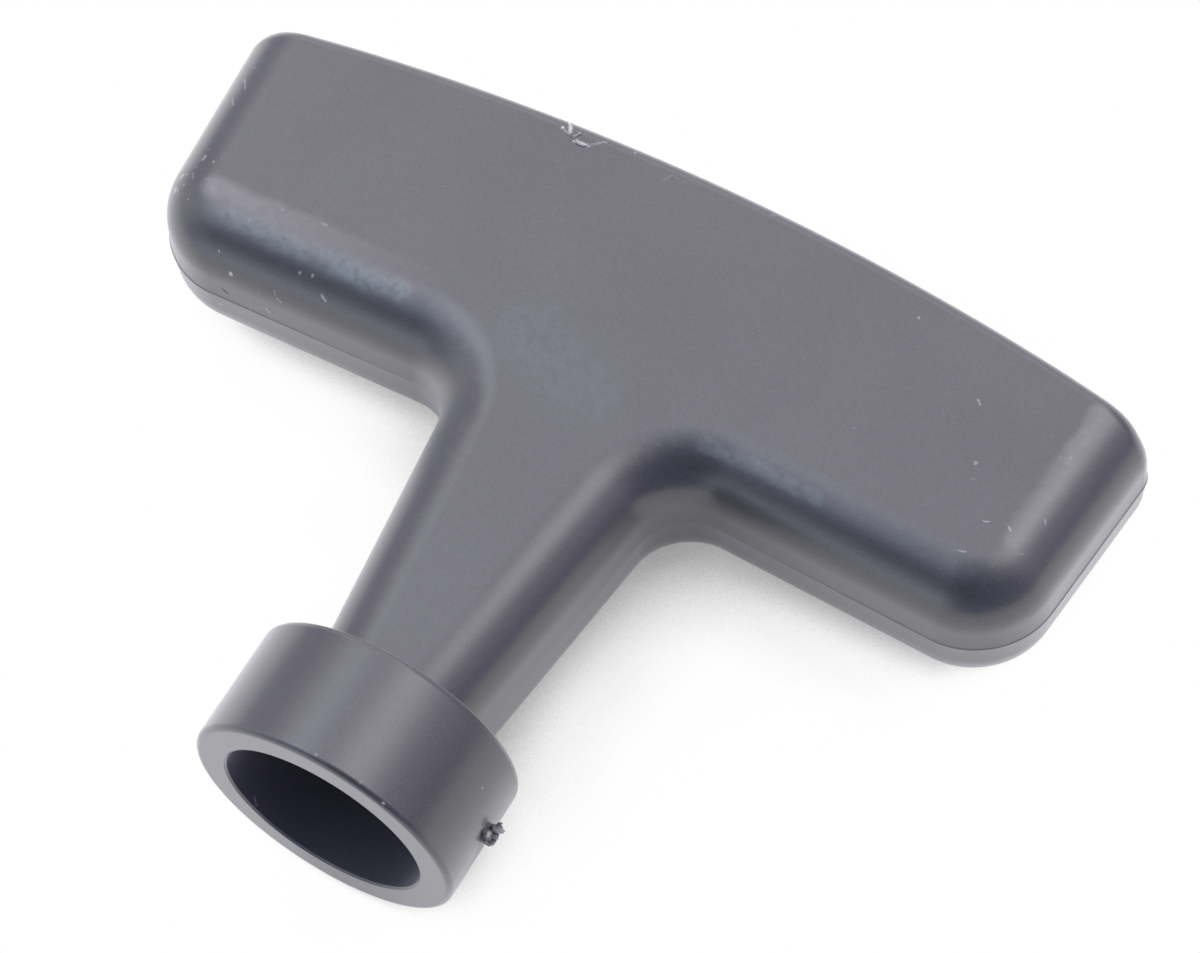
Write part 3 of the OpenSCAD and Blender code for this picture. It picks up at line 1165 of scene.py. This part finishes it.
def floor_brightness(tree, brilliance, direct):
    """White where the sky over the floor is open, grey in the handle's soft shadow."""
    sky = add_node(tree, "ShaderNodeAmbientOcclusion", (-6, -1), samples=SKY_SAMPLES)
    sky.inputs["Distance"].default_value = SKY_REACH
    open_sky = calc(tree, (-6, -2), "POWER", sky.outputs["AO"], SKY_POWER)
    split = add_node(tree, "ShaderNodeSeparateXYZ", (-8, -3))
    coords = add_node(tree, "ShaderNodeTexCoord", (-9, -3)).outputs["Object"]
    tree.links.new(coords, split.inputs[0])
    right = between(tree, (-7, -3), split.outputs["X"], *LIT_RIGHT)
    left = between(tree, (-7, -4), split.outputs["X"], *LIT_LEFT)
    lit = calc(tree, (-6, -3), "ADD", right, left)
    open_sky = calc(tree, (-5, -2), "MULTIPLY_ADD", open_sky, lit, open_sky)
    more = MIRRORED_RATE - DIRECT_RATE
    rate = calc(tree, (-5, 0), "MULTIPLY_ADD", direct, more, -MIRRORED_RATE)
    fall = calc(tree, (-4, -2), "MULTIPLY", open_sky, brilliance)
    fall = calc(tree, (-4, -1), "MULTIPLY", fall, rate)
    fall = calc(tree, (-3, -1), "EXPONENT", fall)
    brightness = calc(tree, (-2, -1), "SUBTRACT", 1.0, fall)
    return calc(tree, (-1, -1), "MAXIMUM", brightness, DARKEST_SHADOW)


def pale_paint(stage):
    """Floor's paint: its colour for the light that it throws back, and white with a
    soft shadow for the camera and for the plastic's reflection."""
    material = bpy.data.materials.new("pale_floor")
    tree = empty_tree(material)
    plain = add_node(tree, "ShaderNodeBsdfDiffuse", (0, 1))
    plain.inputs["Color"].default_value = (*stage.floor, 1)
    path = add_node(tree, "ShaderNodeLightPath", (-6, 0))
    direct = path.outputs["Is Camera Ray"]
    glow = add_node(tree, "ShaderNodeEmission", (0, -1))
    glow.inputs["Color"].default_value = WHITE
    feed(tree, glow.inputs["Strength"], floor_brightness(tree, stage.brilliance, direct))
    seen = calc(tree, (-1, 0), "MAXIMUM", direct, path.outputs["Is Glossy Ray"])
    close_tree(tree, seen, plain, glow, "Material")
    return material


def pale_floor(stage, piece):
    """Floor that the handle lies on, tilted to touch the collar and the palm edge."""
    slope = math.tan(stage.rest_tilt)
    rest = min(v.co.z - slope * v.co.y for v in piece.data.vertices)
    bpy.ops.object.select_all(action="DESELECT")
    bpy.ops.mesh.primitive_plane_add(size=FLOOR_SIZE, rotation=(stage.rest_tilt, 0, 0))
    floor = out_of_edit("pale_floor")
    for vertex in floor.data.vertices:
        vertex.co.z += rest
    floor.data.materials.append(pale_paint(stage))


# Soft lights of the room: turn from +X and height in degrees, sharpness and colour. All
# but the front left strip, and the dim room too, come out of a scratch script's fit to
# the photograph's shading, rounded.
SOFT_LIGHTS = (
    ("back_right_softbox", 51, 60, 16.7, (2.85, 2.80, 2.78)),
    ("overhead_softbox", 161, 61, 27.1, (2.25, 2.26, 2.48)),
    ("left_softbox", 215, 60, 23.6, (1.11, 1.35, 1.65)),
    ("left_panel", 191, 20, 11.5, (0.78, 0.77, 0.75)),
    ("front_left_strip", 253, 2, 14.0, (1.12, 1.20, 1.32)),
    ("right_panel", 19, 28, 20.1, (0.53, 0.51, 0.58)),
    ("back_panel", 90, 30, 16.0, (1.01, 0.97, 0.95)),
    ("back_left_panel", 126, 30, 16.0, (1.35, 1.35, 1.17)),
    ("high_back_panel", 90, 56, 14.0, (0.49, 0.48, 0.56)),
    ("high_left_panel", 180, 56, 14.0, (0.37, 0.34, 0.31)),
)
DIM_ROOM = (0.27, 0.26, 0.42)
# Dark drape left of the camera: turn, height, sharpness and how much it takes away
DRAPE = (272, 36, 8.0, (0.95, 0.95, 0.9))


def soft_light_group():
    """Glow that is strongest in one direction of the room and fades around it."""
    group, enter = open_group(
        "soft_light",
        ("Glow", "Vector"),
        Outlook="Vector",
        Towards="Vector",
        Sharpness="Float",
        Light="Color",
    )
    views = enter["Outlook"], enter["Towards"]
    along = vector_calc(group, (-2, 1), "DOT_PRODUCT", *views, out="Value")
    below = calc(group, (-1, 1), "SUBTRACT", along, 1.0)
    fall = calc(group, (0, 1), "MULTIPLY", below, enter["Sharpness"])
    share = calc(group, (1, 1), "EXPONENT", fall)
    return close_group(group, scaled(group, (2, 0), enter["Light"], share))


def surroundings():
    """Dim room with its soft lights. The camera itself sees only white."""
    world = bpy.data.worlds.new("room")
    bpy.context.scene.world = world
    tree = empty_tree(world)
    coords = add_node(tree, "ShaderNodeTexCoord", (-6, 0))
    group = soft_light_group()

    def glow_of(row, name, turn, height, sharpness, colour):
        """Glow of one soft light of the room."""
        az, el = math.radians(turn), math.radians(height)
        light = add_node(tree, "ShaderNodeGroup", (-4, row), node_tree=group, name=name)
        light.inputs["Towards"].default_value = (
            math.cos(el) * math.cos(az),
            math.cos(el) * math.sin(az),
            math.sin(el),
        )
        light.inputs["Sharpness"].default_value = sharpness
        light.inputs["Light"].default_value = (*colour, 1)
        tree.links.new(coords.outputs["Generated"], light.inputs["Outlook"])
        return light.outputs["Glow"]

    drape = glow_of(-1, "dark_drape", *DRAPE)
    left_over = vector_calc(tree, (-3, -1), "SUBTRACT", (1, 1, 1), drape)
    total = vector_calc(tree, (-2, -1), "MULTIPLY", DIM_ROOM, left_over)
    for row, light in enumerate(SOFT_LIGHTS):
        total = vector_calc(tree, (-2, row), "ADD", total, glow_of(row, *light))
    room = add_node(tree, "ShaderNodeBackground", (0, 0))
    white = add_node(tree, "ShaderNodeBackground", (0, -1))
    white.inputs["Color"].default_value = WHITE
    path = add_node(tree, "ShaderNodeLightPath", (0, 2))
    tree.links.new(total, room.inputs["Color"])
    close_tree(tree, path.outputs["Is Camera Ray"], room, white, "World")


def photo_camera(stage):
    """Camera at the picture's angle."""
    az, el, roll = stage.azimuth, stage.elevation, stage.roll
    back = Vector(
        (math.sin(az) * math.cos(el), -math.cos(az) * math.cos(el), math.sin(el))
    )
    right = Vector((math.cos(az), math.sin(az), 0))
    up = back.cross(right)
    right, up = (
        right * math.cos(roll) + up * math.sin(roll),
        up * math.cos(roll) - right * math.sin(roll),
    )
    camera = bpy.data.cameras.new("camera")
    camera.lens = stage.lens
    camera.sensor_width = SENSOR_WIDTH
    camera.sensor_fit = "HORIZONTAL"
    camera.clip_start = 0.01
    thing = bpy.data.objects.new("camera", camera)
    bpy.context.scene.collection.objects.link(thing)
    place = Vector(stage.aim) + back * stage.distance
    turn = Matrix((right, up, back)).transposed().to_4x4()
    thing.matrix_world = Matrix.Translation(place) @ turn
    bpy.context.scene.camera = thing


# Operators and panel


class HANDLE_OT_moulding(bpy.types.Operator):
    """Model the one-piece handle and give it its plastic"""

    bl_idname = "starter_handle.moulding"
    bl_label = "Handle moulding"

    def execute(self, context):
        sizes, finish = context.scene.handle_sizes, context.scene.handle_finish
        piece = build_moulding(sizes)
        piece.data.materials.clear()
        piece.data.materials.append(satin_plastic(finish, sizes))
        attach(piece, "root")
        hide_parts(NODE)
        return {"FINISHED"}


class HANDLE_OT_stage(bpy.types.Operator):
    """Lay a pale floor under the handle, light it softly and set the camera"""

    bl_idname = "starter_handle.stage"
    bl_label = "Studio"

    def execute(self, context):
        stage = context.scene.handle_stage
        pale_floor(stage, bpy.data.objects[PIECE])
        surroundings()
        photo_camera(stage)
        context.scene.view_settings.view_transform = "Standard"
        return {"FINISHED"}


class HANDLE_PT_panel(bpy.types.Panel):
    """Sizes, finish and stage of the handle"""

    bl_label = "Starter handle"
    bl_space_type = "VIEW_3D"
    bl_region_type = "UI"
    bl_category = "Handle"

    def draw(self, context):
        column = self.layout.column()
        for operator in (HANDLE_OT_moulding, HANDLE_OT_stage):
            column.operator(operator.bl_idname)
        for group in ("handle_sizes", "handle_finish", "handle_stage"):
            values = getattr(context.scene, group)
            for name in values.bl_rna.properties.keys():
                if name not in {"name", "rna_type"}:
                    column.prop(values, name)


CLASSES = (
    HandleSizes,
    HandleFinish,
    HandleStage,
    HANDLE_OT_moulding,
    HANDLE_OT_stage,
    HANDLE_PT_panel,
)


def register():
    for cls in CLASSES:
        bpy.utils.register_class(cls)
    bpy.types.Scene.handle_sizes = bpy.props.PointerProperty(type=HandleSizes)
    bpy.types.Scene.handle_finish = bpy.props.PointerProperty(type=HandleFinish)
    bpy.types.Scene.handle_stage = bpy.props.PointerProperty(type=HandleStage)


def unregister():
    del bpy.types.Scene.handle_stage
    del bpy.types.Scene.handle_finish
    del bpy.types.Scene.handle_sizes
    for cls in reversed(CLASSES):
        bpy.utils.unregister_class(cls)


def main():
    register()
    bpy.ops.starter_handle.moulding()
    bpy.ops.starter_handle.stage()


if __name__ == "__main__":
    main()
